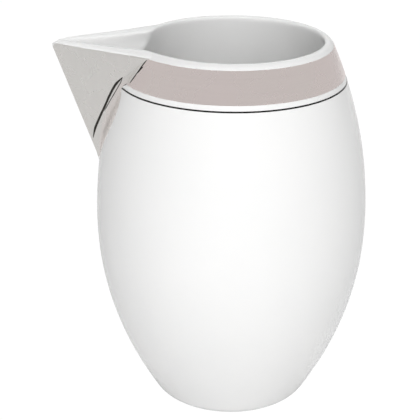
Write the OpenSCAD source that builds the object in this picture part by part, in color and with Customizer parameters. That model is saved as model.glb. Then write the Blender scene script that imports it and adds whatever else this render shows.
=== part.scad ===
// Porcelain cream jug: an egg-shaped cast body on an unglazed foot ring, with a
// sharp-keeled pouring spout and fired-on platinum decoration.
// Origin: middle of the foot ring, on the surface the jug stands on.
// +Z is up and the spout points towards -X.

/* [Body] */
// Height from the standing surface to the top of the lip
jug_h = 105; // [98:0.5:118]
// Largest outside diameter
belly_d = 75.7; // [70:0.1:84]
// Height of the largest diameter
belly_z = 54.8; // [48:0.1:60]
// Outside diameter that the wall reaches at the top
rim_d = 53.4; // [49:0.1:60]
// Fullness of the curve from the belly to the rim and to the base
bulge = 2.07; // [1.9:0.01:2.4]
// Thickness of the wall
wall_t = 2.4; // [2:0.1:3]
// Thickness of the floor above the recess inside the foot ring
floor_t = 3; // [2:0.1:4]
// Height of the rounded heel between the foot and the wall
heel_h = 2.8; // [2:0.1:4]
// Distance that the heel's corner would stand out beyond the foot ring, unrounded
heel_w = 2.85; // [2:0.05:4]

/* [Foot ring] */
// Outside diameter of the unglazed foot ring
foot_d = 36; // [32:0.1:39]
// Height that the foot ring stands below the heel
foot_drop = 0.6; // [0.4:0.1:1.2]
// Height of the unglazed foot ring
foot_h = 1.2; // [0.8:0.1:1.6]
// Width of the foot ring
foot_w = 2.8; // [2:0.1:4]
// Rounding of the edge that the foot ring stands on
foot_round = 0.5; // [0.2:0.1:0.6]
// Height that the floor inside the foot ring is raised above the foot ring's top
recess_h = 0.8; // [0.4:0.1:1.2]

/* [Spout] */
// Distance from the axis to the keel line at the height of the lip
spout_reach = 49.9; // [47:0.1:56]
// Angle between the middle plane and each side of the spout, seen from above
spout_half_angle = 31; // [26:0.5:32]
// Lean of the keel line away from the upright
spout_lean = 20; // [18:0.5:24]
// Thickness of the spout's sides
spout_t = 2.2; // [1.8:0.1:2.6]
// Depth that is taken off the sharp nose
nose_cut = 0.6; // [0.3:0.1:1]

/* [Platinum decoration] */
// Thickness of the platinum skins
skin_t = 0.2; // [0.1:0.05:0.3]
// Depth from the top of the lip to the wide band and to the spout's platinum
band_drop = 1.3; // [1.3:0.1:3]
// Height of the wide band
band_h = 8.1; // [4:0.1:9]
// White gap between the wide band and the thin line
gap_h = 1.3; // [1:0.1:3]
// Height of the thin line
line_h = 0.4; // [0.3:0.1:0.8]
// Width across the jug of the spout's platinum, at the height of the lip
film_top_w = 33.8; // [33:0.1:38]
// Width across the jug of the spout's platinum, at the foot of the keel
film_low_w = 12.4; // [8:0.1:18]

/* [Hidden] */
$fn = 96;

wall_steps = 22;
heel_steps = 5;
lip_steps = 8;
foot_steps = 3;
body_color = "white";
bisque_color = "ivory";
platinum_color = "silver";

belly_r = belly_d / 2;
rim_r = rim_d / 2;
lip_r = wall_t / 2;
lip_z = jug_h - lip_r;
heel_z = foot_drop + heel_h;
foot_r = foot_d / 2;
base_r = foot_r + heel_w;
foot_hole_r = foot_r - foot_w;
recess_z = foot_h + recess_h;
floor_z = recess_z + floor_t;
inner_heel_z = floor_z + heel_h;
band_top = jug_h - band_drop;
band_bottom = band_top - band_h;
line_top = band_bottom - gap_h;
// Length of the spout's prisms along the keel, and across it to where its sides pass
// closest to the axis
keel_len = 2 * jug_h;
side_len = spout_reach * pow(cos(spout_half_angle), 2) * cos(spout_lean);
// The keel leans, so the angle measured square to it is a little wider
square_angle = atan(tan(spout_half_angle) / cos(spout_lean));

// Outside radius of the egg-shaped wall at height z
function wall_r(z) = z > belly_z
    ? belly_r - (belly_r - rim_r) * pow((z - belly_z) / (jug_h - belly_z), bulge)
    : belly_r - (belly_r - base_r) * pow((belly_z - z) / (belly_z - foot_drop), bulge);

// Distance from the axis to the keel line at height z
function keel_r(z) = spout_reach - tan(spout_lean) * (jug_h - z);

// Height at which the keel line meets the wall, found by halving the stretch from low to high
function keel_foot(low, high, halvings) = let (middle = (low + high) / 2)
    halvings == 0 ? middle
    : keel_r(middle) > wall_r(middle) ? keel_foot(low, middle, halvings - 1)
    : keel_foot(middle, high, halvings - 1);
keel_foot_z = keel_foot(belly_z, jug_h, 20);

// Point at t on the curve that leaves a towards b and arrives at c from b
function bend(a, b, c, t) = (1 - t) * (1 - t) * a + 2 * t * (1 - t) * b + t * t * c;

// Heel and wall from the foot to the lip, moved outwards by skin
function outer_points(skin) = concat(
    [for (i = [0 : heel_steps])
        bend([foot_r, foot_drop - skin], [base_r + skin, foot_drop - skin],
             [wall_r(heel_z) + skin, heel_z], i / heel_steps)],
    [for (i = [1 : wall_steps]) let (z = heel_z + (lip_z - heel_z) * i / wall_steps)
        [wall_r(z) + skin, z]]);

// Rounded top of the lip, from the outside to the inside
lip_points = [for (i = [1 : lip_steps - 1]) let (a = 180 * i / lip_steps)
    [wall_r(lip_z) - lip_r + lip_r * cos(a), lip_z + lip_r * sin(a)]];

// Inside of the jug, from the lip down to the middle of the floor
inner_points = concat(
    [for (i = [0 : wall_steps]) let (z = lip_z + (inner_heel_z - lip_z) * i / wall_steps)
        [wall_r(z) - wall_t, z]],
    [for (i = [1 : heel_steps])
        bend([wall_r(inner_heel_z) - wall_t, inner_heel_z],
             [wall_r(floor_z) - wall_t, floor_z], [foot_hole_r, floor_z], i / heel_steps)],
    [[0, floor_z]]);

// Underside, from the middle of the recess out to the foot ring's outer edge
under_points = [[0, recess_z], [foot_hole_r, recess_z], [foot_hole_r, foot_h],
                [foot_r, foot_h]];

// Foot ring's rounded lower edge, around its middle width
foot_points = concat(
    [for (i = [0 : foot_steps]) let (a = 90 * i / foot_steps)
        [foot_hole_r + foot_round - foot_round * cos(a), foot_round - foot_round * sin(a)]],
    [for (i = [0 : foot_steps]) let (a = 90 * i / foot_steps)
        [foot_r - foot_round + foot_round * sin(a), foot_round - foot_round * cos(a)]]);

// Whole of the jug's outside without its hollow, moved outwards by skin
module outer_solid(skin) {
    rotate_extrude()
        polygon(concat([[0, foot_drop - skin]], outer_points(skin),
                       [[wall_r(lip_z) + skin, jug_h + wall_t], [0, jug_h + wall_t]]));
}

// Space between two heights
module slab(bottom, top) {
    translate([-jug_h, -jug_h, bottom]) cube([2 * jug_h, 2 * jug_h, top - bottom]);
}

// Prism along the leaning keel line, with its sides moved outwards by grow and its sharp
// edge cut back to a blunt nose
module keel_prism(grow) {
    edge = -grow / sin(square_angle);
    nose = max(nose_cut - grow, edge + nose_cut);
    nose_y = (nose - edge) * tan(square_angle);
    side_y = (side_len - edge) * tan(square_angle);
    translate([-spout_reach, 0, jug_h]) rotate([0, -spout_lean, 0])
        translate([0, 0, -keel_len / 2]) linear_extrude(height = keel_len)
            polygon([[nose, nose_y], [nose, -nose_y], [side_len, -side_y], [side_len, side_y]]);
}

// Stretch in front of the axis that the spout's platinum covers, wider towards the lip
module film_mask() {
    rotate([90, 0, -90]) linear_extrude(height = 2 * spout_reach)
        polygon([[-film_low_w / 2, keel_foot_z], [film_low_w / 2, keel_foot_z],
                 [film_top_w / 2, jug_h], [-film_top_w / 2, jug_h]]);
}

// Skin on the outside of the jug's wall between two heights, clear of the spout
module wall_skin(bottom, top) {
    difference() {
        intersection() {
            outer_solid(skin_t);
            slab(bottom, top);
        }
        outer_solid(0);
        film_mask();
        keel_prism(skin_t);
    }
}

// Cast body with its floor and rounded lip, open towards the spout's channel
module body_shell() {
    color(body_color) difference() {
        rotate_extrude()
            polygon(concat(under_points, outer_points(0), lip_points, inner_points));
        intersection() {
            keel_prism(-spout_t);
            slab(belly_z, jug_h + wall_t);
        }
    }
}

// Unglazed ring that the jug stands on
module foot_ring() {
    color(bisque_color) rotate_extrude()
        polygon(concat(foot_points, [[foot_r, foot_h], [foot_hole_r, foot_h]]));
}

// V-shaped spout, open at the top, whose keel runs down to a point on the body
module pouring_spout() {
    color(body_color) difference() {
        intersection() {
            keel_prism(0);
            slab(belly_z, jug_h);
        }
        keel_prism(-spout_t);
        outer_solid(0);
    }
}

// Wide platinum band around the collar
module platinum_band() {
    color(platinum_color) wall_skin(band_bottom, band_top);
}

// Thin platinum line below the wide band
module platinum_line() {
    color(platinum_color) wall_skin(line_top - line_h, line_top);
}

// Platinum over both sides of the spout, spreading a little over the body
module spout_platinum() {
    color(platinum_color) difference() {
        intersection() {
            union() {
                keel_prism(skin_t);
                intersection() {
                    outer_solid(skin_t);
                    film_mask();
                }
            }
            slab(keel_foot_z, band_top);
        }
        keel_prism(0);
        outer_solid(0);
    }
}

body_shell();
foot_ring();
pouring_spout();
platinum_band();
platinum_line();
spout_platinum();
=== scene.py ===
"""Looks for the porcelain cream jug: glazed body, foot ring, keeled spout and platinum trim.

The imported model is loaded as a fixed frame. Every piece is built in metres in that frame, with the
origin in the middle of the foot ring, +Z up and the spout towards -X.

A place round the jug is a number: 0 is the keel line, 1 the end of its rounded edge, 2 the end of
the spout's flat side, 3 the end of the spout and 5 the back. It is positive on the far side and
negative on the near side.
"""
import logging
import math
from collections.abc import Callable
from dataclasses import dataclass, field
from enum import Enum

import bmesh
import bpy
from mathutils import Matrix, Vector
from mathutils.kdtree import KDTree


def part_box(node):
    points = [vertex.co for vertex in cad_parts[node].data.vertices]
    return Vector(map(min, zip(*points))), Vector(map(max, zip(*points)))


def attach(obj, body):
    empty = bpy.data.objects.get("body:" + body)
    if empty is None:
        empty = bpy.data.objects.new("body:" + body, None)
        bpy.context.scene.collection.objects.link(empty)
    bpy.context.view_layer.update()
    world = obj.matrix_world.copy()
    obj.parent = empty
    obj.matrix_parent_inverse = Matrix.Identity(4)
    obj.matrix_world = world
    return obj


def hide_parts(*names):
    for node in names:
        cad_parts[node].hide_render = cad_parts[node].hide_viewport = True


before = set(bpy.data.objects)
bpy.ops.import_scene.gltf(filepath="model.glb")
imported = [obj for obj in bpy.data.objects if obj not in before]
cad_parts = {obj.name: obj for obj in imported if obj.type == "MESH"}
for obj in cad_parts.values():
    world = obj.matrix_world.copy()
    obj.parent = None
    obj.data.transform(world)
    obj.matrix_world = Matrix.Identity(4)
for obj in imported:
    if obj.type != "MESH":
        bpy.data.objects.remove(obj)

LOG = logging.getLogger("cream_jug")
MM = 0.001
BODY = "root"
UP = Vector((0, 0, 1))
WELD = 0.001 * MM
NOSE_END = 1.0
SIDE_END = 2.0
SPOUT_END = 3.0
BACK = 5.0
WARMTH = "warmth"
PATTERN_LOW = 0.3
PATTERN_HIGH = 0.7

Point = tuple[float, float]
Colour = tuple[float, float, float]
Net = list[list[Vector]]
Pairs = list[tuple[Vector, Vector]]


class Wall(Enum):
    """The two skins of the jug's wall."""

    OUTSIDE = "outside"
    INSIDE = "inside"


class Grain(Enum):
    """How much fine detail a cloudy pattern has."""

    SMOOTH = 1.0
    EVEN = 2.0
    FINE = 3.0
    CRUMBLY = 5.0


class Strokes(Enum):
    """Direction in which the platinum was brushed on."""

    ROUND_THE_JUG = "round"
    UPRIGHT = "upright"


def mixed(a: float, b: float, share: float) -> float:
    """Value that lies the given share of the way from a to b."""
    return a + (b - a) * share


def eased(share: float) -> float:
    """Share from 0 to 1 with a gentle start and end."""
    held = min(max(share, 0.0), 1.0)
    return held * held * (3 - 2 * held)


def bent(a: Vector, b: Vector, c: Vector, share: float) -> Vector:
    """Point on the curve that leaves a towards b and arrives at c from b."""
    rest = 1 - share
    return a * (rest * rest) + b * (2 * share * rest) + c * (share * share)


def read_off(knots: tuple[Point, ...], at: float) -> float:
    """Reads a value off a broken line.

    Args:
        knots: the line's (position, value) corners, with rising positions.
        at: the position.

    Returns:
        The value there, or that of the nearest end.
    """
    for (start, low), (end, high) in zip(knots, knots[1:]):
        if at <= end:
            return mixed(low, high, min(max((at - start) / (end - start), 0.0), 1.0))
    return knots[-1][1]


def around(place: float) -> float:
    """Counts a place just past the back from the other side.

    Args:
        place: place round the jug, which may be a little beyond 5 or -5.

    Returns:
        The same place, between -5 and 5.
    """
    if place > BACK:
        return place - 2 * BACK
    if place < -BACK:
        return place + 2 * BACK
    return place


def narrowed(low: float, high: float, beyond: Callable[[float], bool], halvings: int) -> Point:
    """Halves a stretch again and again towards the value at which a test turns true.

    Args:
        low: start of the stretch, where the test is false.
        high: end of the stretch, where the test is true.
        beyond: the test.
        halvings: how often to halve.

    Returns:
        The ends of the stretch that is left.
    """
    for _ in range(halvings):
        middle = (low + high) / 2
        if beyond(middle):
            high = middle
        else:
            low = middle
    return (low, high)


def quarter_round(radius: float, steps: int) -> list[Point]:
    """Rounds off a square corner.

    Args:
        radius: radius of the rounding.
        steps: number of stretches that it is made of.

    Returns:
        How far each point is moved along the corner's two edges: the first distance grows from
        nothing to the radius, and the second shrinks from the radius to nothing.
    """
    turns = [math.pi / 2 * k / steps for k in range(steps + 1)]
    return [(radius * (1 - math.cos(turn)), radius * (1 - math.sin(turn))) for turn in turns]


# --- The jug's form ------------------------------------------------------------------------


@dataclass(frozen=True)
class Cut:
    """Level cut through one skin of the wall: a circle that runs into a pointed V.

    Points are given as (forward, across): forward is the distance towards the spout, and across the
    distance from the middle plane, on its positive side.
    """

    radius: float
    reach: float
    half_angle: float
    nose: float
    fillet: float

    @property
    def pointed(self) -> bool:
        """Whether the V stands out of the circle."""
        return self.reach > self.radius

    @property
    def fillet_centre(self) -> Point:
        """Middle of the round corner between the V's side and the circle.

        Returns:
            The middle as (forward, across).
        """
        lean_in, lean_out = math.cos(self.half_angle), math.sin(self.half_angle)
        wide = self.radius + self.fillet
        off_line = self.reach * lean_out + self.fillet
        along = self.reach * lean_in - math.sqrt(max(wide * wide - off_line * off_line, 0.0))
        return (
            self.reach + self.fillet * lean_out - along * lean_in,
            self.fillet * lean_in + along * lean_out,
        )

    @property
    def body_angle(self) -> float:
        """Where the round body begins.

        Returns:
            The angle from the spout's direction, or 0 where no V stands out.
        """
        if not self.pointed:
            return 0.0
        forward, across = self.fillet_centre
        return math.atan2(across, forward)

    def nose_point(self, share: float) -> Point:
        """Point on the V's rounded edge.

        Args:
            share: 0 in the middle plane and 1 at the flat side.

        Returns:
            The point as (forward, across).
        """
        turn = share * (math.pi / 2 - self.half_angle)
        middle = self.reach - self.nose / math.sin(self.half_angle)
        return (middle + self.nose * math.cos(turn), self.nose * math.sin(turn))

    def side_point(self, share: float) -> Point:
        """Point on the V's flat side.

        Args:
            share: 0 at the rounded edge and 1 at the fillet.

        Returns:
            The point as (forward, across).
        """
        start = self.nose_point(1.0)
        end = self.fillet_point(0.0)
        return (mixed(start[0], end[0], share), mixed(start[1], end[1], share))

    def fillet_point(self, share: float) -> Point:
        """Point on the round corner.

        Args:
            share: 0 at the V's side and 1 at the circle.

        Returns:
            The point as (forward, across).
        """
        forward, across = self.fillet_centre
        start = -math.pi / 2 - self.half_angle
        end = math.atan2(-across, -forward)
        turn = mixed(start, end, share)
        return (forward + self.fillet * math.cos(turn), across + self.fillet * math.sin(turn))

    def spout_point(self, place: float) -> Point:
        """Point on the spout's half of the cut.

        Args:
            place: place on the far side, from the keel line to the end of the spout.

        Returns:
            The point as (forward, across).
        """
        if not self.pointed:
            return (self.radius, 0.0)
        if place <= NOSE_END:
            return self.nose_point(place)
        if place <= SIDE_END:
            return self.side_point(place - NOSE_END)
        return self.fillet_point(place - SIDE_END)

    def round_point(self, angle: float) -> Point:
        """Point on the round body at an angle from the spout's direction."""
        return (self.radius * math.cos(angle), self.radius * math.sin(angle))


@dataclass(frozen=True)
class JugForm:
    """Sizes of the jug and the smooth skins that they give.

    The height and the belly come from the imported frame; the rest are the design's own sizes. The
    trough's half angles, in degrees, and the radii at the spout's root, in millimetres, are given
    at heights in millimetres, and the shares of the spout's dip at places round the jug.
    """

    height: float
    belly_radius: float
    belly_height: float = 54.8 * MM
    rim_radius: float = 26.7 * MM
    base_radius: float = 20.85 * MM
    bulge: float = 2.07
    wall: float = 2.4 * MM
    foot_radius: float = 18.0 * MM
    foot_width: float = 2.8 * MM
    foot_drop: float = 0.6 * MM
    foot_height: float = 1.2 * MM
    heel: float = 2.8 * MM
    recess: float = 0.8 * MM
    floor: float = 3.0 * MM
    spout_reach: float = 49.85 * MM
    spout_half_angle: float = math.radians(31)
    spout_lean: float = math.radians(20)
    trough_angles: tuple[Point, ...] = (
        (95.0, 28.5), (99.0, 28.2), (101.3, 27.3), (103.0, 25.0), (104.0, 23.4), (105.0, 22.0),
    )
    trough_setback: float = 3.1 * MM
    keel_round: float = 0.35 * MM
    trough_round: float = 0.8 * MM
    round_share: float = 0.25
    root_fillets: tuple[Point, ...] = (
        (90.0, 14.0), (92.5, 12.5), (94.5, 10.0), (96.0, 7.3), (97.5, 4.6), (99.0, 2.8),
        (101.0, 1.6), (103.0, 1.1), (105.0, 1.0),
    )
    mouth_fillet: float = 4.0 * MM
    fillet_growth: float = 1.5
    lip_height: float = 1.9 * MM
    nose_lip_height: float = 0.8 * MM
    spout_dip: float = 0.53 * MM
    dip_shape: tuple[Point, ...] = (
        (1.5, 1.0), (1.7, 0.88), (1.85, 0.68), (2.0, 0.5), (3.0, 0.42), (3.08, 0.2), (3.18, 0.05),
        (3.25, 0.0),
    )
    nose_dip: float = 1.0 * MM
    nose_fade: float = 0.045
    keel_halvings: int = 60
    place_halvings: int = 26
    widest_trim: float = 0.4

    def wall_radius(self, z: float) -> float:
        """Outside radius of the egg-shaped wall.

        Args:
            z: height.

        Returns:
            The radius at that height.
        """
        if z > self.belly_height:
            run = (z - self.belly_height) / (self.height - self.belly_height)
            return self.belly_radius - (self.belly_radius - self.rim_radius) * run**self.bulge
        run = (self.belly_height - z) / (self.belly_height - self.foot_drop)
        return self.belly_radius - (self.belly_radius - self.base_radius) * run**self.bulge

    def keel_reach(self, z: float, wall: Wall) -> float:
        """Distance from the axis to the sharp line of the V.

        Args:
            z: height.
            wall: which skin.

        Returns:
            The distance at that height.
        """
        outside = self.spout_reach - math.tan(self.spout_lean) * (self.height - z)
        if wall is Wall.OUTSIDE:
            return outside
        return outside - self.trough_setback

    def largest_fillet(self, z: float) -> float:
        """Largest radius of the corner between spout and body: soft low down, crisp at the lip."""
        return read_off(self.root_fillets, z / MM) * MM

    def cut(self, z: float, wall: Wall) -> Cut:
        """Level cut through one skin.

        Args:
            z: height.
            wall: which skin.

        Returns:
            The cut at that height.
        """
        outside = wall is Wall.OUTSIDE
        radius = self.wall_radius(z) - (0.0 if outside else self.wall)
        reach = self.keel_reach(z, wall)
        stand_out = max(reach - radius, 0.0)
        largest = self.largest_fillet(z) if outside else self.mouth_fillet
        fillet = largest * (1 - math.exp(-self.fillet_growth * stand_out / largest))
        nose = min(self.keel_round if outside else self.trough_round, stand_out * self.round_share)
        trough = math.radians(read_off(self.trough_angles, z / MM))
        half_angle = self.spout_half_angle if outside else trough
        return Cut(radius, reach, half_angle, nose, fillet)

    def keel_foot(self, wall: Wall) -> float:
        """Height at which the V's sharp line runs into the round wall.

        Args:
            wall: which skin.

        Returns:
            The lowest height at which the V stands out.
        """
        def stands_out(z: float) -> bool:
            """Whether the V stands out at height z."""
            return self.cut(z, wall).pointed

        return narrowed(self.belly_height, self.height, stands_out, self.keel_halvings)[1]

    def lip_top(self, place: float) -> float:
        """Height of the lip, which dips a little along the spout and more at its nose.

        Args:
            place: place round the jug.

        Returns:
            The height there.
        """
        share = abs(place)
        along = self.spout_dip * read_off(self.dip_shape, share)
        off_nose = max(share - NOSE_END, 0)
        return self.height - along - self.nose_dip * math.exp(-off_nose / self.nose_fade)

    def lip_start(self, place: float) -> float:
        """Height at which the lip's rounding begins on the outside and ends on the inside."""
        share = min(abs(place), SPOUT_END) / SPOUT_END
        return self.lip_top(place) - mixed(self.nose_lip_height, self.lip_height, eased(share))

    def skin_point(self, wall: Wall, place: float, z: float) -> Vector:
        """Point on one skin of the wall.

        Args:
            wall: which skin.
            place: place round the jug.
            z: height.

        Returns:
            The point in the jug's frame.
        """
        cut = self.cut(z, wall)
        share = abs(place)
        if share <= SPOUT_END:
            forward, across = cut.spout_point(share)
        else:
            turned = (share - SPOUT_END) / (BACK - SPOUT_END)
            forward, across = cut.round_point(mixed(cut.body_angle, math.pi, turned))
        return Vector((-forward, math.copysign(across, place), z))

    def lip_corners(self, place: float) -> tuple[Vector, Vector, Vector, Vector, Vector]:
        """Points that shape the rounded lip.

        Args:
            place: place round the jug.

        Returns:
            The points from the lip's start outside over the top to its end inside.
        """
        start, top = self.lip_start(place), self.lip_top(place)
        outside = self.skin_point(Wall.OUTSIDE, place, top)
        inside = self.skin_point(Wall.INSIDE, place, top)
        return (
            self.skin_point(Wall.OUTSIDE, place, start),
            outside,
            (outside + inside) / 2,
            inside,
            self.skin_point(Wall.INSIDE, place, start),
        )

    def outside_point(self, place: float, z: float) -> Vector:
        """Point on the outside of the jug, the outer half of its rounded lip included.

        Args:
            place: place round the jug.
            z: height.

        Returns:
            The point in the jug's frame.
        """
        start, top = self.lip_start(place), self.lip_top(place)
        if z <= start:
            return self.skin_point(Wall.OUTSIDE, place, z)
        share = 1 - math.sqrt(max(top - z, 0.0) / (top - start))
        return bent(*self.lip_corners(place)[:3], share)

    def outward(self, place: float, z: float) -> Vector:
        """Direction in which the outside faces.

        Args:
            place: place round the jug.
            z: height.

        Returns:
            The direction, of length 1.
        """
        turn, rise = 0.001, 0.02 * MM
        low, high = around(place - turn), around(place + turn)
        along = self.outside_point(high, z) - self.outside_point(low, z)
        upwards = self.outside_point(place, z + rise) - self.outside_point(place, z - rise)
        facing = along.cross(upwards).normalized()
        here = self.outside_point(place, z)
        return facing if facing.dot(here - UP * z) > 0 else -facing

    def place_across(self, z: float, across: float) -> float:
        """Place on the far side that lies a given distance from the middle plane.

        Args:
            z: height.
            across: the distance.

        Returns:
            The place, from the nose to somewhat beyond the spout.
        """
        def wide_enough(place: float) -> bool:
            """Whether the outside lies at least that far out at a place."""
            return self.outside_point(place, z).y >= across

        farthest = mixed(SPOUT_END, BACK, self.widest_trim)
        low, high = narrowed(NOSE_END, farthest, wide_enough, self.place_halvings)
        return (low + high) / 2


# --- Building meshes -----------------------------------------------------------------------


def placed(name: str, data: bpy.types.ID) -> bpy.types.Object:
    """Puts something new into the scene.

    Args:
        name: its name.
        data: its mesh, light or camera.

    Returns:
        The new object, at the origin.
    """
    made = bpy.data.objects.new(name, data)
    bpy.context.scene.collection.objects.link(made)
    return made


def settled(
    piece: bpy.types.Object, finishes: list[bpy.types.Material], slot: str, *nodes: str
) -> bpy.types.Object:
    """Dresses a piece and sets it on the jug in place of CAD nodes.

    Args:
        piece: the piece.
        finishes: its materials, in the order of its faces' finish numbers.
        slot: not used.
        nodes: the CAD nodes that it stands for.

    Returns:
        The same piece.
    """
    for finish in finishes:
        piece.data.materials.append(finish)
    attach(piece, BODY)
    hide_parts(*nodes)
    LOG.info("%s: %d faces, stands for %s", piece.name, len(piece.data.polygons), ", ".join(nodes))
    return piece


@dataclass
class Build:
    """Points and faces that are gathered for one piece.

    A closed solid is made of nets of quads. Faces in a net are shaded smoothly, by the normals that
    come with the piece, and faces added one by one are shaded flat.
    """

    bm: bmesh.types.BMesh = field(default_factory=bmesh.new)

    def corner(self, point: Vector) -> bmesh.types.BMVert:
        """New point of the mesh."""
        return self.bm.verts.new(point)

    def add_net(self, net: Net, finish: int = 0) -> None:
        """Adds a net of quads through rows of points.

        Args:
            net: rows of equally many points.
            finish: number of the finish that the faces take.
        """
        rows = [[self.corner(point) for point in row] for row in net]
        for low, high in zip(rows, rows[1:]):
            for k in range(len(low) - 1):
                face = self.bm.faces.new((low[k], low[k + 1], high[k + 1], high[k]))
                face.smooth = True
                face.material_index = finish

    def add_flat(self, corners: list[Vector], finish: int = 0) -> None:
        """Adds one face that is shaded flat.

        Args:
            corners: its corners, in order.
            finish: number of the finish that it takes.
        """
        face = self.bm.faces.new([self.corner(point) for point in corners])
        face.smooth = False
        face.material_index = finish

    def weld(self) -> None:
        """Joins points that lie together, drops faces without area and turns the rest outwards."""
        bmesh.ops.remove_doubles(self.bm, verts=self.bm.verts, dist=WELD)
        bmesh.ops.dissolve_degenerate(self.bm, dist=WELD, edges=self.bm.edges)
        bmesh.ops.recalc_face_normals(self.bm, faces=self.bm.faces)

    def piece(self, name: str, normals: "Normals | None" = None) -> bpy.types.Object:
        """Makes the piece and puts it into the scene.

        Args:
            name: the piece's name.
            normals: smooth normals for the faces in nets, or None for the mesh's own.

        Returns:
            The new object, at the origin of the jug's frame.
        """
        self.weld()
        mesh = bpy.data.meshes.new(name)
        self.bm.to_mesh(mesh)
        self.bm.free()
        if normals is not None:
            known = [normals.at(vertex.co) for vertex in mesh.vertices]
            split = []
            for face in mesh.polygons:
                for vertex in face.vertices:
                    split.append(known[vertex] if face.use_smooth else face.normal.copy())
            mesh.normals_split_custom_set(split)
        return placed(name, mesh)


class Normals:
    """Directions in which the points of a smooth skin face, looked up by place."""

    def __init__(self, pairs: Pairs) -> None:
        """Keeps known points.

        Args:
            pairs: each point with the direction in which it faces.
        """
        self.tree = KDTree(len(pairs))
        self.facing = [facing for _, facing in pairs]
        for number, (point, _) in enumerate(pairs):
            self.tree.insert(point, number)
        self.tree.balance()

    @classmethod
    def of_nets(cls, nets: list[Net]) -> "Normals":
        """Directions on the closed skin that nets make together, led by its larger faces.

        Args:
            nets: the nets.

        Returns:
            The directions at all of their points.
        """
        build = Build()
        for net in nets:
            build.add_net(net)
        build.weld()
        pairs = []
        for vertex in build.bm.verts:
            facing = Vector()
            for face in vertex.link_faces:
                facing += face.normal * face.calc_area()
            pairs.append((vertex.co.copy(), facing.normalized()))
        build.bm.free()
        return cls(pairs)

    def at(self, point: Vector) -> Vector:
        """Direction at the known point nearest to this one."""
        return self.facing[self.tree.find(point)[1]]


# --- Finishes ------------------------------------------------------------------------------


class Bench:
    """Node tree of one material, with short ways to add and join nodes."""

    def __init__(self, name: str) -> None:
        """Starts an empty material with a shader and its output.

        Args:
            name: the material's name.
        """
        self.material = bpy.data.materials.new(name)
        self.material.use_nodes = True
        self.tree = self.material.node_tree
        self.tree.nodes.clear()
        self.shader = self.tree.nodes.new("ShaderNodeBsdfPrincipled")
        output = self.tree.nodes.new("ShaderNodeOutputMaterial")
        self.tree.links.new(self.shader.outputs["BSDF"], output.inputs["Surface"])
        self.place = self.tree.nodes.new("ShaderNodeTexCoord").outputs["Object"]

    def node(
        self, kind: str, inputs: dict[str | int, object] | None = None, **settings: object
    ) -> bpy.types.Node:
        """Adds a node.

        Args:
            kind: its type, without the usual prefix.
            inputs: for the name or number of an input, the socket that feeds it or its value.
            settings: its own settings, such as the operation of a Math node.

        Returns:
            The new node.
        """
        made = self.tree.nodes.new("ShaderNode" + kind)
        for name, value in settings.items():
            setattr(made, name, value)
        for key, value in (inputs or {}).items():
            if isinstance(value, bpy.types.NodeSocket):
                self.tree.links.new(value, made.inputs[key])
            else:
                made.inputs[key].default_value = value
        return made

    def feed(self, source: bpy.types.NodeSocket, name: str) -> None:
        """Joins a socket to one of the shader's inputs."""
        self.tree.links.new(source, self.shader.inputs[name])

    def stretched(self, factors: tuple[float, float, float]) -> bpy.types.NodeSocket:
        """The place on the object, with each direction scaled by its own factor."""
        return self.node("Mapping", {"Scale": factors, "Vector": self.place}).outputs["Vector"]

    def round_the_axis(self, turns: float, rise: float) -> bpy.types.NodeSocket:
        """The place as angle round the upright axis and height.

        Args:
            turns: factor of the angle.
            rise: factor of the height.

        Returns:
            The place.
        """
        parts = self.node("SeparateXYZ", {0: self.place}).outputs
        angle = self.node("Math", {0: parts["Y"], 1: parts["X"]}, operation="ARCTAN2")
        wide = self.node("Math", {0: angle.outputs[0], 1: turns}, operation="MULTIPLY")
        tall = self.node("Math", {0: parts["Z"], 1: rise}, operation="MULTIPLY")
        return self.node("CombineXYZ", {"X": wide.outputs[0], "Y": tall.outputs[0]}).outputs[0]

    def noise(
        self, vector: bpy.types.NodeSocket, scale: float, grain: Grain
    ) -> bpy.types.NodeSocket:
        """Soft cloudy pattern.

        Args:
            vector: the place that it is read at.
            scale: number of clouds in a metre.
            grain: how much fine detail it has.

        Returns:
            The pattern, from 0 to 1.
        """
        inputs = {"Scale": scale, "Detail": grain.value, "Vector": vector}
        return self.node("TexNoise", inputs).outputs["Fac"]

    def between(
        self, share: bpy.types.NodeSocket, first: Colour, second: Colour
    ) -> bpy.types.NodeSocket:
        """Colour that changes over the middle of a pattern.

        Args:
            share: the pattern.
            first: colour where it is low.
            second: colour where it is high.

        Returns:
            The colour.
        """
        ramp = self.node("ValToRGB", {"Fac": share})
        ends = ((PATTERN_LOW, first), (PATTERN_HIGH, second))
        for element, (position, colour) in zip(ramp.color_ramp.elements, ends):
            element.position = position
            element.color = (*colour, 1.0)
        return ramp.outputs["Color"]

    def colour_by(
        self, share: bpy.types.NodeSocket, first: bpy.types.NodeSocket, second: bpy.types.NodeSocket
    ) -> bpy.types.NodeSocket:
        """First colour where the share is 0, second where it is 1."""
        inputs = {"Factor": share, "A": first, "B": second}
        return self.node("Mix", inputs, data_type="RGBA").outputs["Result"]

    def roughness(self, share: bpy.types.NodeSocket, low: float, high: float) -> None:
        """Lets the surface's roughness run between two values with a pattern.

        Args:
            share: the pattern.
            low: roughness where it is low.
            high: roughness where it is high.
        """
        inputs = {
            "From Min": PATTERN_LOW, "From Max": PATTERN_HIGH, "To Min": low, "To Max": high,
            "Value": share,
        }
        self.feed(self.node("MapRange", inputs).outputs["Result"], "Roughness")

    def bump(self, patterns: list[tuple[bpy.types.NodeSocket, float]]) -> None:
        """Raises the surface by patterns, one on top of another.

        Args:
            patterns: each pattern with its depth in metres.
        """
        below: dict[str | int, object] = {}
        for pattern, depth in patterns:
            inputs = {"Strength": 1.0, "Distance": depth, "Height": pattern, **below}
            below = {"Normal": self.node("Bump", inputs).outputs["Normal"]}
        for name, normal in below.items():
            self.feed(normal, name)


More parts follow.
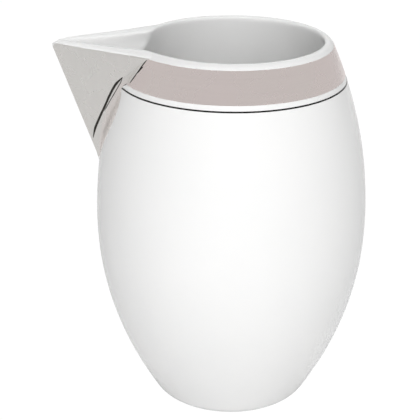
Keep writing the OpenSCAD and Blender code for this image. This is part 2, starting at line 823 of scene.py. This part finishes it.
@dataclass(frozen=True)
class Glaze:
    """Clear glossy glaze over white porcelain, a little uneven as a dipped glaze is."""

    name: str = "porcelain_glaze"
    thick: Colour = (0.915, 0.917, 0.913)
    thin: Colour = (0.935, 0.933, 0.928)
    cloud_scale: float = 38.0
    ripple_scale: float = 95.0
    ripple_depth: float = 0.012 * MM
    peel_scale: float = 900.0
    peel_depth: float = 0.0012 * MM
    roughest: float = 0.17
    smoothest: float = 0.09

    def material(self) -> bpy.types.Material:
        """White glaze with slow clouds, faint ripples and a fine skin.

        Returns:
            The material.
        """
        bench = Bench(self.name)
        clouds = bench.noise(bench.place, self.cloud_scale, Grain.FINE)
        ripples = bench.noise(bench.place, self.ripple_scale, Grain.SMOOTH)
        peel = bench.noise(bench.place, self.peel_scale, Grain.EVEN)
        bench.feed(bench.between(clouds, self.thick, self.thin), "Base Color")
        bench.roughness(clouds, self.smoothest, self.roughest)
        bench.bump([(ripples, self.ripple_depth), (peel, self.peel_depth)])
        return bench.material


@dataclass(frozen=True)
class Bisque:
    """Bare fired porcelain where the foot ring was wiped clean of glaze."""

    name: str = "bare_foot"
    pale: Colour = (0.80, 0.785, 0.75)
    worn: Colour = (0.62, 0.60, 0.565)
    patch_scale: float = 140.0
    grain_scale: float = 2600.0
    grain_depth: float = 0.02 * MM
    roughest: float = 0.85
    smoothest: float = 0.6

    def material(self) -> bpy.types.Material:
        """Matt cream ring with rubbed grey patches and a fine sandy grain.

        Returns:
            The material.
        """
        bench = Bench(self.name)
        patches = bench.noise(bench.place, self.patch_scale, Grain.CRUMBLY)
        sand = bench.noise(bench.place, self.grain_scale, Grain.EVEN)
        bench.feed(bench.between(patches, self.pale, self.worn), "Base Color")
        bench.roughness(sand, self.smoothest, self.roughest)
        bench.bump([(sand, self.grain_depth)])
        return bench.material


@dataclass(frozen=True)
class Lustre:
    """Platinum lustre fired onto the glaze, with the faint strokes of the brush.

    Where the mesh has a share called warmth, the colour runs from cool to warm with it.
    """

    name: str
    cool: Colour
    warm: Colour
    strokes: Strokes
    smoothest: float = 0.22
    roughest: float = 0.34
    round_strokes: Point = (1.4, 1500.0)
    upright_strokes: tuple[float, float, float] = (420.0, 420.0, 45.0)
    stroke_depth: float = 0.0015 * MM
    unevenness: float = 0.02
    blush: float = 0.012
    gloss_scale: float = 180.0
    broad_scale: float = 60.0

    def stroke_pattern(self, bench: Bench) -> bpy.types.NodeSocket:
        """Long thin clouds in the direction of the strokes.

        Args:
            bench: the bench that the material is made on.

        Returns:
            The pattern, from 0 to 1.
        """
        if self.strokes is Strokes.ROUND_THE_JUG:
            return bench.noise(bench.round_the_axis(*self.round_strokes), 1.0, Grain.EVEN)
        return bench.noise(bench.stretched(self.upright_strokes), 1.0, Grain.EVEN)

    def dimmed(self, colour: Colour) -> Colour:
        """The colour where the lustre lies thinnest."""
        return tuple(part * (1 - self.unevenness) for part in colour)

    def blushed(self, colour: Colour) -> Colour:
        """The colour where the lustre has turned a little rosier."""
        red, green, blue = colour
        return (red * (1 + self.blush), green * (1 - self.blush), blue)

    def brushed(
        self, bench: Bench, strokes: bpy.types.NodeSocket, colour: Colour
    ) -> bpy.types.NodeSocket:
        """The colour, dimmed a little along the strokes."""
        return bench.between(strokes, colour, self.dimmed(colour))

    def material(self) -> bpy.types.Material:
        """Satin metal with strokes in its colour, its gloss and its surface.

        Returns:
            The material.
        """
        bench = Bench(self.name)
        strokes = self.stroke_pattern(bench)
        clouds = bench.noise(bench.place, self.gloss_scale, Grain.EVEN)
        broad = bench.noise(bench.place, self.broad_scale, Grain.SMOOTH)
        cool = bench.colour_by(
            broad,
            self.brushed(bench, strokes, self.cool),
            self.brushed(bench, strokes, self.blushed(self.cool)),
        )
        warm = self.brushed(bench, strokes, self.warm)
        warmth = bench.node("Attribute", attribute_name=WARMTH)
        bench.feed(bench.colour_by(warmth.outputs["Fac"], cool, warm), "Base Color")
        bench.shader.inputs["Metallic"].default_value = 1.0
        bench.roughness(clouds, self.smoothest, self.roughest)
        bench.bump([(strokes, self.stroke_depth)])
        return bench.material


# --- The cast pot --------------------------------------------------------------------------


@dataclass
class CastPot:
    """Glazed body and spout, cast in one and shown as two pieces that meet without a visible join.
    """

    form: JugForm
    glaze: Glaze
    nose_steps: int = 4
    side_steps: int = 14
    fillet_steps: int = 12
    round_steps: int = 56
    spout_rows: int = 40
    wall_rows: int = 30
    heel_rows: int = 8
    lip_rows: int = 10
    corner_rows: int = 4
    corner_round: float = 0.5 * MM
    row_crowding: float = 1.25

    def spout_places(self) -> list[float]:
        """Places across the spout.

        Returns:
            The places from the spout's near end over the keel line to its far end.
        """
        half = [k / self.nose_steps for k in range(1, self.nose_steps + 1)]
        half += [NOSE_END + eased(k / self.side_steps) for k in range(1, self.side_steps + 1)]
        half += [SIDE_END + k / self.fillet_steps for k in range(1, self.fillet_steps + 1)]
        return [-place for place in reversed(half)] + [0.0] + half

    def body_places(self) -> list[float]:
        """Places round the body.

        Returns:
            The places from the spout's far end over the back to its near end.
        """
        reach = BACK - SPOUT_END
        half = [SPOUT_END + reach * k / self.round_steps for k in range(self.round_steps + 1)]
        return half + [-place for place in reversed(half[:-1])]

    def skin_rows(self, wall: Wall, places: list[float]) -> Net:
        """Rows on one skin, from the keel's foot to the start of the lip.

        Args:
            wall: which skin.
            places: places of the points in a row.

        Returns:
            The rows from the lowest up.
        """
        foot = self.form.keel_foot(wall)
        net = []
        for row in range(self.spout_rows + 1):
            share = (row / self.spout_rows) ** self.row_crowding
            heights = [mixed(foot, self.form.lip_start(place), share) for place in places]
            net.append([self.form.skin_point(wall, p, z) for p, z in zip(places, heights)])
        return net

    def lip_net(self, places: list[float]) -> Net:
        """Rows over the lip, between the last row of the outside and that of the inside.

        Args:
            places: places of the points in a row.

        Returns:
            The rows from the outside to the inside.
        """
        shapes = [self.form.lip_corners(place) for place in places]
        steps = [row / self.lip_rows for row in range(1, self.lip_rows + 1)]
        net = [[bent(*shape[:3], step) for shape in shapes] for step in steps]
        return net + [[bent(*shape[2:], step) for shape in shapes] for step in steps[:-1]]

    def upper_net(self, places: list[float]) -> Net:
        """Rows up the outside, over the lip and down the inside to the keel's foot.

        Args:
            places: places of the points in a row.

        Returns:
            The rows in that order.
        """
        outside = self.skin_rows(Wall.OUTSIDE, places)
        inside = self.skin_rows(Wall.INSIDE, places)
        return outside + self.lip_net(places) + inside[::-1]

    def ring(self, radius: float, z: float) -> list[Vector]:
        """Level row of points round the axis.

        Args:
            radius: distance from the axis.
            z: height.

        Returns:
            The points at the places round the body.
        """
        points = []
        for place in self.body_places():
            turn = math.pi * (abs(place) - SPOUT_END) / (BACK - SPOUT_END)
            across = math.copysign(radius * math.sin(turn), place)
            points.append(Vector((-radius * math.cos(turn), across, z)))
        return points

    def heel_curve(self, start: Point, corner: Point, end: Point) -> list[Point]:
        """Rounded heel, as (radius, height) points.

        Args:
            start: where it starts.
            corner: the corner that it rounds off.
            end: where it ends.

        Returns:
            The points from start to end.
        """
        a, b, c = (Vector((*point, 0)) for point in (start, corner, end))
        curve = [bent(a, b, c, k / self.heel_rows) for k in range(self.heel_rows + 1)]
        return [(point.x, point.y) for point in curve]

    def underside(self) -> Net:
        """Rows under the pot.

        Returns:
            The rows from the middle of the recess over the foot ring's seat to the heel's end.
        """
        form = self.form
        hole = form.foot_radius - form.foot_width
        roof = form.foot_height + form.recess
        top = form.foot_drop + form.heel
        profile = [(0.0, roof), (hole / 2, roof)]
        for drop, inwards in quarter_round(self.corner_round, self.corner_rows):
            profile.append((hole - inwards, roof - drop))
        profile += [(hole, form.foot_height), (form.foot_radius, form.foot_height)]
        profile += self.heel_curve(
            (form.foot_radius, form.foot_drop),
            (form.base_radius, form.foot_drop),
            (form.wall_radius(top), top),
        )
        return [self.ring(radius, z) for radius, z in profile]

    def lower_wall(self, wall: Wall, low: float) -> Net:
        """Rows on the fully round part of one skin.

        Args:
            wall: which skin.
            low: height of the first row.

        Returns:
            The rows from there to just below the keel's foot.
        """
        high = self.form.keel_foot(wall)
        thickness = 0.0 if wall is Wall.OUTSIDE else self.form.wall
        heights = [mixed(low, high, k / self.wall_rows) for k in range(self.wall_rows)]
        return [self.ring(self.form.wall_radius(z) - thickness, z) for z in heights]

    def inner_floor(self) -> tuple[Net, float]:
        """Rows inside, at the bottom.

        Returns:
            The rows from the inner heel to the middle of the floor, and the height of the heel's
            start.
        """
        form = self.form
        floor = form.foot_height + form.recess + form.floor
        top = floor + form.heel
        curve = self.heel_curve(
            (form.wall_radius(top) - form.wall, top),
            (form.wall_radius(floor) - form.wall, floor),
            (form.foot_radius - form.foot_width, floor),
        )
        rows = [self.ring(radius, z) for radius, z in curve[1:]]
        return rows + [self.ring(curve[-1][0] / 2, floor), self.ring(0.0, floor)], top

    def body_net(self) -> Net:
        """All rows of the body.

        Returns:
            The rows from the middle underneath over the lip to the middle of the floor inside.
        """
        low = self.form.foot_drop + self.form.heel
        floor_rows, inner_low = self.inner_floor()
        outside = self.lower_wall(Wall.OUTSIDE, low)[1:]
        inside = self.lower_wall(Wall.INSIDE, inner_low)
        upper = self.upper_net(self.body_places())
        return self.underside() + outside + upper + inside[::-1] + floor_rows

    def add_joint(self, build: Build, place: float) -> None:
        """Adds the flat cut through the wall where the body and the spout meet.

        Args:
            build: the piece that takes it.
            place: its place round the jug.
        """
        outside = [row[0] for row in self.skin_rows(Wall.OUTSIDE, [place])]
        inside = [row[0] for row in self.skin_rows(Wall.INSIDE, [place])]
        lip = [row[0] for row in self.lip_net([place])]
        outside += lip[: self.lip_rows]
        inside += lip[: self.lip_rows - 2 : -1]
        for k in range(len(outside) - 1):
            build.add_flat([outside[k], inside[k], inside[k + 1], outside[k + 1]])

    def make(self) -> list[bpy.types.Object]:
        """Builds and dresses the body and the spout.

        Returns:
            The two pieces.
        """
        body_net = self.body_net()
        spout_net = self.upper_net(self.spout_places())
        normals = Normals.of_nets([body_net, spout_net])
        material = self.glaze.material()
        made = []
        for name, net, node in (
            ("glazed_body", body_net, "body_shell"),
            ("glazed_spout", spout_net, "pouring_spout"),
        ):
            build = Build()
            build.add_net(net)
            self.add_joint(build, SPOUT_END)
            self.add_joint(build, -SPOUT_END)
            piece = build.piece(name, normals)
            made.append(settled(piece, [material], "glazed_porcelain", node))
        return made


@dataclass
class FootRing:
    """Bare ring that the jug stands on, with both of its edges rubbed round."""

    form: JugForm
    bisque: Bisque
    steps: int = 96
    edge_steps: int = 5
    edge_round: float = 0.5 * MM

    def profile(self) -> list[Point]:
        """Section through the ring.

        Returns:
            Its (radius, height) points, once round.
        """
        outer = self.form.foot_radius
        inner = outer - self.form.foot_width
        edge = quarter_round(self.edge_round, self.edge_steps)
        points = [(inner, self.form.foot_height)]
        points += [(inner + inwards, rise) for inwards, rise in edge]
        points += [(outer - inwards, rise) for rise, inwards in edge]
        points.append((outer, self.form.foot_height))
        return points + points[:1]

    def make(self) -> list[bpy.types.Object]:
        """Builds and dresses the ring.

        Returns:
            The one piece.
        """
        net = []
        for k in range(self.steps + 1):
            angle = 2 * math.pi * k / self.steps
            across, along = math.cos(angle), math.sin(angle)
            net.append([Vector((r * across, r * along, z)) for r, z in self.profile()])
        build = Build()
        build.add_net(net)
        piece = build.piece("bare_foot_ring")
        return [settled(piece, [self.bisque.material()], "bisque", "foot_ring")]


# --- Platinum ------------------------------------------------------------------------------


@dataclass(frozen=True)
class PaintedReflectionLine:
    """Painted dark reflection: a dark line laid in the curved hollow at the spout's root, standing
    for dark surroundings mirrored in the platinum. Its run over the spout's flank and its width.

    The run is a list of (height in mm, place) pairs from top to bottom. The line thins out to a
    part of its width towards both ends.
    """

    run: tuple[Point, ...]
    width: float
    finish: int = 1
    end_share: float = 0.25
    taper: float = 5.0
    short_of_end: float = 1e-6

    def at(self, share: float) -> Point:
        """Spot on a smooth line through the run's points.

        Args:
            share: share of the run, from 0 to 1.

        Returns:
            The spot's height in metres and its place.
        """
        last = len(self.run) - 1
        reached = min(share * last, last - self.short_of_end)
        k = int(reached)
        t = reached - k
        before, start = self.run[max(k - 1, 0)], self.run[k]
        end, after = self.run[k + 1], self.run[min(k + 2, last)]
        values = []
        for a, b, c, d in zip(before, start, end, after):
            slope_in, slope_out = (c - a) / 2, (d - b) / 2
            rise = 3 * (c - b) - 2 * slope_in - slope_out
            turn = slope_in + slope_out - 2 * (c - b)
            values.append(b + t * (slope_in + t * (rise + t * turn)))
        return (values[0] * MM, values[1])

    def width_at(self, share: float) -> float:
        """Width that thins out towards both ends."""
        return self.width * min(1.0, self.end_share + self.taper * min(share, 1 - share))


@dataclass
class PlatinumTrim:
    """Platinum fired onto the glaze: the wide band, the thin line and the spout's two flanks.

    The half widths of the flanks' platinum are given in millimetres at heights in millimetres, and
    the heights of its upper edge in millimetres at places round the jug.
    """

    form: JugForm
    pot: CastPot
    band_lustre: Lustre
    flank_lustre: Lustre
    line_lustre: Lustre
    # Finish of the painted dark reflection lines at the spout's root.
    painted_reflection_lustre: Lustre
    lift: float = 0.045 * MM
    sink: float = 0.02 * MM
    edge_width: tuple[Point, ...] = (
        (74.0, 5.2), (75.9, 6.6), (78.7, 8.6), (81.6, 10.5), (84.3, 11.8), (86.9, 12.65),
        (89.1, 12.8), (91.5, 12.35), (92.9, 11.55), (93.8, 11.1), (94.4, 11.25), (95.1, 11.8),
        (95.7, 13.0), (96.3, 14.0), (97.3, 14.55), (98.4, 15.0), (99.5, 15.38), (101.0, 15.75),
        (102.9, 16.27), (104.0, 16.5),
    )
    tip_height: float = 70.7 * MM
    tip_rise: float = 0.8
    tip_rounds: int = 14
    flank_top: tuple[Point, ...] = (
        (0.0, 103.1), (1.0, 103.15), (1.06, 103.48), (1.4, 103.46), (1.7, 103.6), (1.9, 103.7),
        (5.0, 103.72),
    )
    warm_from: float = 2.35
    warm_to: float = 2.6
    warm_below: float = 97.5 * MM
    warm_fade: float = 2.0 * MM
    band_rows: int = 32
    line_rows: int = 2
    round_steps: int = 75
    even_from: float = 3.2
    follow_from: float = 98.0 * MM
    knee_gap: float = 0.02
    flank_rows: int = 56
    row_crowding: float = 1.2
    border_steps: int = 8
    reflection_steps: int = 60

    def edge_across(self, z: float) -> float:
        """Distance from the middle plane to the edge of the spout's platinum."""
        return read_off(self.edge_width, z / MM) * MM

    def edge_place(self, z: float) -> float:
        """Place at which the edge of the spout's platinum lies."""
        place = self.form.place_across(z, self.edge_across(z))
        return max(place, SPOUT_END) if z > self.follow_from else place

    def skin(self, spots: list[list[Point]]) -> tuple[Net, Net]:
        """Glaze that the platinum lies on.

        Args:
            spots: rows of (place, height) spots.

        Returns:
            The points at the spots, and the directions in which they face.
        """
        front = [[self.form.outside_point(*spot) for spot in row] for row in spots]
        facings = [[self.form.outward(*spot) for spot in row] for row in spots]
        return front, facings

    def film(self, build: Build, front: Net, facings: Net, finish: int = 0) -> Pairs:
        """Adds a thin closed skin over the glaze.

        Args:
            build: the piece that takes the skin.
            front: rows of points on the glaze.
            facings: the direction in which each point faces.
            finish: number of the finish that the skin takes.

        Returns:
            The points of the skin's outer and inner face, and the directions in which they face.
        """
        over = [[p + n * self.lift for p, n in zip(*rows)] for rows in zip(front, facings)]
        under = [[p - n * self.sink for p, n in zip(*rows)] for rows in zip(front, facings)]
        build.add_net(over, finish)
        build.add_net(under, finish)
        for a, b in (
            (over[0], under[0]),
            (over[-1], under[-1]),
            ([row[0] for row in over], [row[0] for row in under]),
            ([row[-1] for row in over], [row[-1] for row in under]),
        ):
            for k in range(len(a) - 1):
                build.add_flat([a[k], a[k + 1], b[k + 1], b[k]], finish)
        pairs = []
        for rows in zip(over, under, facings):
            for outer, inner, facing in zip(*rows):
                pairs += [(outer, facing), (inner, -facing)]
        return pairs

    def collar(self, name: str, node: str, lustre: Lustre, rows: int) -> bpy.types.Object:
        """Band or line round the body between the heights of its CAD node.

        Args:
            name: the piece's name.
            node: the CAD node that gives the heights.
            lustre: its finish.
            rows: number of rows of faces.

        Returns:
            The finished piece.
        """
        low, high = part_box(node)
        spots = []
        for row in range(rows + 1):
            z = mixed(low.z, high.z, row / rows)
            places = self.collar_places(z)
            spots.append([(place, z + self.lip_follow(place, z)) for place in places])
        build = Build()
        pairs = self.film(build, *self.skin(spots))
        piece = build.piece(name, Normals(pairs))
        return settled(piece, [lustre.material()], "platinum", node)

    def lip_follow(self, place: float, z: float) -> float:
        """Rise of the collar's upper part that keeps its edge level with the lip.

        Args:
            place: place round the jug.
            z: height before the rise.

        Returns:
            The rise, which is negative where the lip dips.
        """
        share = (z - self.follow_from) / (self.form.height - self.follow_from)
        near_lip = min(max(share, 0.0), 1.0)
        return (self.form.lip_top(place) - self.form.height) * near_lip

    def collar_places(self, z: float) -> list[float]:
        """Places of the collar's columns.

        Args:
            z: height.

        Returns:
            The places from the collar's far end over the back to its near end.
        """
        start, even = self.edge_place(z), self.even_from
        half = [mixed(start, even, k / self.border_steps) for k in range(self.border_steps)]
        half += [mixed(even, BACK, k / self.round_steps) for k in range(self.round_steps + 1)]
        return half + [-place for place in reversed(half[:-1])]

    def top_of_flank(self, place: float) -> float:
        """Height of the upper edge of the spout's platinum, as the brush left it."""
        return read_off(self.flank_top, abs(place)) * MM

    def flank_place(self, column: float, z: float) -> float:
        """Place of a column of the film; columns past the spout spread to the film's edge.

        Args:
            column: number of the column, which is its place as far as the spout's flat sides go.
            z: height.

        Returns:
            The column's place at that height.
        """
        edge = self.edge_place(z)
        knee = min(SPOUT_END, edge - self.knee_gap)
        share = abs(column)
        if share <= SIDE_END:
            return column
        if share <= SPOUT_END:
            return math.copysign(mixed(SIDE_END, knee, share - SIDE_END), column)
        return math.copysign(mixed(knee, edge, share - SPOUT_END), column)

    def foot_of_flank(self, column: float) -> float:
        """Height of the lower edge of the spout's platinum, a shallow V about the keel line.

        Args:
            column: number of the column.

        Returns:
            The height at which the column starts.
        """
        z = self.tip_height
        for _ in range(self.tip_rounds):
            across = abs(self.form.outside_point(self.flank_place(column, z), z).y)
            z = self.tip_height + self.tip_rise * across
        return z

    def flank_columns(self) -> list[float]:
        """Columns of the film: the spout's own places, with the border on the body at each end."""
        border = [SPOUT_END + (k + 1) / self.border_steps for k in range(self.border_steps)]
        return [-c for c in reversed(border)] + self.pot.spout_places() + border

    def flank_skin(self) -> tuple[Net, Net]:
        """Glaze under the spout's platinum.

        Returns:
            Rows of points from the lowest up, and the directions in which they face.
        """
        columns = self.flank_columns()
        ends = [(self.foot_of_flank(column), self.top_of_flank(column)) for column in columns]
        spots = []
        for row in range(self.flank_rows + 1):
            share = (row / self.flank_rows) ** self.row_crowding
            heights = [mixed(foot, top, share) for foot, top in ends]
            spots.append([(self.flank_place(c, z), z) for c, z in zip(columns, heights)])
        return self.skin(spots)

    def painted_reflection_lines(self) -> list[PaintedReflectionLine]:
        """Painted dark reflection lines of one flank.

        Returns:
            The lens in the hollow of the root, its inner line and the two at the band's end.
        """
        hollow = (
            (97.0, 2.11), (96.1, 2.16), (95.0, 2.19), (93.7, 2.235), (92.4, 2.27), (90.9, 2.29),
            (89.5, 2.3), (88.1, 2.3), (86.6, 2.275), (85.0, 2.23), (83.2, 2.17), (81.5, 2.09),
            (79.6, 1.98), (78.1, 1.82), (76.7, 1.55),
        )
        inner = (
            (96.9, 2.14), (95.8, 2.345), (94.8, 2.43), (92.9, 2.48), (90.5, 2.47), (88.0, 2.42),
            (86.0, 2.36),
        )
        end = (
            (103.2, 2.995), (102.6, 3.01), (101.8, 3.022), (100.6, 3.038), (99.5, 3.046),
            (98.4, 3.047), (97.3, 3.042), (96.4, 3.034),
        )
        beside = ((101.5, 3.044), (100.7, 3.047), (100.0, 3.048), (99.3, 3.046))
        return [
            PaintedReflectionLine(hollow, 0.68 * MM),
            PaintedReflectionLine(inner, 0.2 * MM),
            PaintedReflectionLine(end, 0.32 * MM),
            PaintedReflectionLine(beside, 0.34 * MM),
        ]

    def add_reflection_line(self, build: Build, reflection_line: PaintedReflectionLine, sign: float) -> Pairs:
        """Adds one painted dark reflection line to a flank, a hair above the platinum.

        Args:
            build: the piece that takes the line.
            reflection_line: the painted reflection line.
            sign: 1 for the far flank and -1 for the near one.

        Returns:
            The line's points and the directions in which they face.
        """
        run = [reflection_line.at(k / self.reflection_steps) for k in range(self.reflection_steps + 1)]
        (middles,), (facings,) = self.skin([[(sign * place, z) for z, place in run]])
        front: Net = [[], [], []]
        for k, (middle, facing) in enumerate(zip(middles, facings)):
            ahead = middles[min(k + 1, self.reflection_steps)] - middles[max(k - 1, 0)]
            half = facing.cross(ahead).normalized() * (reflection_line.width_at(k / self.reflection_steps) / 2)
            for row, shift in zip(front, (-half, Vector(), half)):
                row.append(middle + shift + facing * self.lift)
        return self.film(build, front, [facings] * len(front), reflection_line.finish)

    def flanks(self) -> bpy.types.Object:
        """Platinum over both flanks of the spout, with painted dark reflection lines at its root.

        Returns:
            The finished piece.
        """
        front, facings = self.flank_skin()
        build = Build()
        pairs = self.film(build, front, facings)
        # Painted dark reflection lines in the root hollow, laid over the platinum.
        for reflection_line in self.painted_reflection_lines():
            for sign in (-1.0, 1.0):
                pairs += self.add_reflection_line(build, reflection_line, sign)
        piece = build.piece("spout_flank_platinum", Normals(pairs))
        self.warm(piece, front)
        finishes = [self.flank_lustre.material(), self.painted_reflection_lustre.material()]
        return settled(piece, finishes, "platinum", "spout_platinum")

    def warm(self, piece: bpy.types.Object, front: Net) -> None:
        """Gives each point its share of warmth: warm beyond the hollow of the root, cool before.

        Args:
            piece: the platinum over the flanks.
            front: the rows of points that it lies on, one point for each column.
        """
        columns = self.flank_columns()
        known = KDTree(len(front) * len(columns))
        shares = []
        for row in front:
            for column, point in zip(columns, row):
                across = (abs(column) - self.warm_from) / (self.warm_to - self.warm_from)
                low = (self.warm_below - point.z) / self.warm_fade
                known.insert(point, len(shares))
                shares.append(eased(across) * eased(low))
        known.balance()
        layer = piece.data.attributes.new(WARMTH, "FLOAT", "POINT")
        for vertex, value in zip(piece.data.vertices, layer.data):
            value.value = shares[known.find(vertex.co)[1]]

    def make(self) -> list[bpy.types.Object]:
        """Builds and dresses all platinum.

        Returns:
            The three pieces.
        """
        return [
            self.collar("wide_band", "platinum_band", self.band_lustre, self.band_rows),
            self.collar("thin_line", "platinum_line", self.line_lustre, self.line_rows),
            self.flanks(),
        ]


# --- Studio --------------------------------------------------------------------------------


@dataclass(frozen=True)
class Panel:
    """Square soft light that faces the jug.

    It hangs at an angle round the jug from the front, positive to the right, and at an angle
    above the level of the jug's middle, both in degrees. Its power is in watts.
    """

    name: str
    turn: float
    rise: float
    width: float
    power: float

    def place(self, middle: Vector, distance: float) -> Vector:
        """Where it hangs.

        Args:
            middle: the jug's middle.
            distance: distance from there.

        Returns:
            The middle of the panel.
        """
        turn, rise = math.radians(self.turn), math.radians(self.rise)
        level = Vector((math.sin(turn), -math.cos(turn), 0)) * math.cos(rise)
        return middle + (level + UP * math.sin(rise)) * distance


def split_by_view(
    tree: bpy.types.NodeTree, output: str, for_light: bpy.types.Node, for_camera: bpy.types.Node
) -> None:
    """Shows the camera one shader, and gives light and mirrors another.

    Args:
        tree: the node tree.
        output: type of its output node.
        for_light: the shader that light and mirrors meet.
        for_camera: the shader that the camera sees.
    """
    mix = tree.nodes.new("ShaderNodeMixShader")
    path = tree.nodes.new("ShaderNodeLightPath")
    tree.links.new(path.outputs["Is Camera Ray"], mix.inputs["Fac"])
    tree.links.new(for_light.outputs[0], mix.inputs[1])
    tree.links.new(for_camera.outputs[0], mix.inputs[2])
    tree.links.new(mix.outputs["Shader"], tree.nodes.new(output).inputs["Surface"])


@dataclass
class Studio:
    """Plain pale floor, soft light and the camera."""

    target: Vector = field(default_factory=lambda: Vector((0, 0, 52.8 * MM)))
    distance: float = 369.85 * MM
    elevation: float = math.radians(22.56)
    roll: float = math.radians(0.5)
    lens: float = 111.43
    sensor: float = 36.0
    shift: Point = (-0.0504, 0.0173)
    sight: Point = (0.01, 50.0)
    floor_size: float = 1.4
    floor_albedo: float = 0.8
    floor_glow: float = 1.02
    air: Colour = (0.66, 0.66, 0.66)
    panel_distance: float = 1.2
    panels: tuple[Panel, ...] = (
        Panel("front_panel", 0, 22, 0.9, 2.0),
        Panel("upper_panel", 0, 40, 0.9, 7.5),
        Panel("high_panel", 0, 65, 0.9, 0.85),
        Panel("lower_panel", 0, 12, 0.3, 3.2),
        Panel("left_panel", -40, 15, 0.9, 0.3),
        Panel("right_panel", 40, 15, 0.9, 0.7),
        Panel("back_panel", 180, 30, 0.9, 10.7),
        Panel("back_left_panel", -120, 25, 0.9, 2.4),
        Panel("back_right_panel", 120, 25, 0.9, 3.1),
    )

    def camera(self) -> None:
        """Sets up the camera in front of the jug, a little above it."""
        back = Vector((0, -math.cos(self.elevation), math.sin(self.elevation)))
        right = Vector((1, 0, 0))
        above = back.cross(right)
        turned_right = right * math.cos(self.roll) + above * math.sin(self.roll)
        turned_up = above * math.cos(self.roll) - right * math.sin(self.roll)
        data = bpy.data.cameras.new("studio_camera")
        data.lens = self.lens
        data.sensor_width = self.sensor
        data.shift_x, data.shift_y = self.shift
        data.clip_start, data.clip_end = self.sight
        made = placed("studio_camera", data)
        axes = Matrix((turned_right, turned_up, back)).transposed().to_4x4()
        axes.translation = self.target + back * self.distance
        made.matrix_world = axes
        bpy.context.scene.camera = made

    def floor(self) -> None:
        """Lays a level floor that looks plain white and throws soft light back at the jug."""
        half = self.floor_size / 2
        mesh = bpy.data.meshes.new("studio_floor")
        corners = [(-half, -half, 0), (half, -half, 0), (half, half, 0), (-half, half, 0)]
        mesh.from_pydata(corners, [], [(0, 1, 2, 3)])
        made = placed("studio_floor", mesh)
        made.data.materials.append(self.floor_material())

    def floor_material(self) -> bpy.types.Material:
        """Matt white that the light burns out to plain white.

        Returns:
            The material.
        """
        material = bpy.data.materials.new("studio_white")
        material.use_nodes = True
        tree = material.node_tree
        tree.nodes.clear()
        matt = tree.nodes.new("ShaderNodeBsdfDiffuse")
        burnt = tree.nodes.new("ShaderNodeEmission")
        matt.inputs["Color"].default_value = (self.floor_albedo,) * 3 + (1.0,)
        burnt.inputs["Strength"].default_value = self.floor_glow
        split_by_view(tree, "ShaderNodeOutputMaterial", matt, burnt)
        return material

    def light(self) -> None:
        """Lights the glaze with soft panels, and fills the air with what the gloss mirrors."""
        world = bpy.data.worlds.new("studio_air")
        world.use_nodes = True
        tree = world.node_tree
        tree.nodes.clear()
        lit = tree.nodes.new("ShaderNodeBackground")
        seen = tree.nodes.new("ShaderNodeBackground")
        lit.inputs["Color"].default_value = (*self.air, 1.0)
        seen.inputs["Color"].default_value = (1.0, 1.0, 1.0, 1.0)
        split_by_view(tree, "ShaderNodeOutputWorld", lit, seen)
        world.cycles_visibility.diffuse = False
        bpy.context.scene.world = world
        for panel in self.panels:
            self.hang(panel)

    def hang(self, panel: Panel) -> None:
        """Puts up one panel, too soft to show as a reflection.

        Args:
            panel: the panel.
        """
        data = bpy.data.lights.new(panel.name, "AREA")
        data.size = panel.width
        data.energy = panel.power
        made = placed(panel.name, data)
        made.location = panel.place(self.target, self.panel_distance)
        made.rotation_euler = (made.location - self.target).to_track_quat("Z", "Y").to_euler()
        made.visible_glossy = False

    def make(self) -> None:
        """Sets up the studio."""
        bpy.context.scene.view_settings.view_transform = "Standard"
        self.camera()
        self.floor()
        self.light()


# --- Making --------------------------------------------------------------------------------


def trim_for(form: JugForm, pot: CastPot) -> PlatinumTrim:
    """Platinum with its four finishes.

    Args:
        form: the jug's form.
        pot: the pot that the platinum is fired onto.

    Returns:
        The trim, not yet built.
    """
    taupe, cool, warm = (0.82, 0.757, 0.72), (0.82, 0.808, 0.777), (0.88, 0.825, 0.80)
    # The second dark colour is painted dark reflection for the lines in the spout's root hollow; the
    # first is the thin line's own dark platinum.
    line, reflected_dark = (0.035, 0.034, 0.032), (0.05, 0.047, 0.042)
    return PlatinumTrim(
        form,
        pot,
        band_lustre=Lustre("taupe_lustre", taupe, taupe, Strokes.ROUND_THE_JUG, blush=0.03),
        flank_lustre=Lustre("cool_lustre", cool, warm, Strokes.UPRIGHT),
        line_lustre=Lustre("line_lustre", line, line, Strokes.ROUND_THE_JUG),
        painted_reflection_lustre=Lustre("painted_reflection_lustre", reflected_dark, reflected_dark, Strokes.UPRIGHT),
    )


def main() -> None:
    """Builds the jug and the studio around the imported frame."""
    logging.basicConfig(level=logging.INFO, format="%(name)s: %(message)s")
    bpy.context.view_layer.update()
    _, body_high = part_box("body_shell")
    form = JugForm(height=body_high.z, belly_radius=body_high.x)
    pot = CastPot(form, Glaze())
    pieces = pot.make() + FootRing(form, Bisque()).make() + trim_for(form, pot).make()
    Studio().make()
    LOG.info("%d pieces made", len(pieces))


if __name__ == "__main__":
    main()
